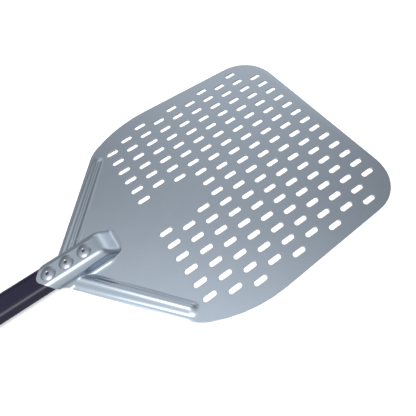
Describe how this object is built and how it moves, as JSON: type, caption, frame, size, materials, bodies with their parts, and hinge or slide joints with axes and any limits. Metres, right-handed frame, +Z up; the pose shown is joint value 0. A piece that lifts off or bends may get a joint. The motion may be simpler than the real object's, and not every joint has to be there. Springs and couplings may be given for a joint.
{
  "type": "pizza peel",
  "caption": "Perforated metal pizza peel: slotted head with stiffening ribs, riveted over a flat-oval tube handle with a moulded grip that hangs up.",
  "frame": {"origin": "centre of the square baking area, on the plane of the head's underside", "axes": "+Y along the handle towards the leading edge, +X to the right looking forwards, +Z up out of the baking face"},
  "size_m": [0.305, 0.6598, 0.0212],
  "materials": {
    "head_sheet": "satin anodised, cool blue-grey",
    "tube": "black anodised, semi-gloss, slight violet tint",
    "grip": "fine-textured moulded polymer",
    "rivet": "bright satin",
    "mandrel": "zinc-plated, dull broken end"
  },
  "bodies": {
    "root": {"head_plate": "head_sheet", "handle_tube": "tube", "end_grip": "grip", "rivet_body_rear": "rivet", "rivet_body_middle": "rivet", "rivet_body_front": "rivet", "rivet_mandrel_rear": "mandrel", "rivet_mandrel_middle": "mandrel", "rivet_mandrel_front": "mandrel", "grip_rivet_body": "rivet", "grip_rivet_mandrel": "mandrel"}
  },
  "joints": []
}
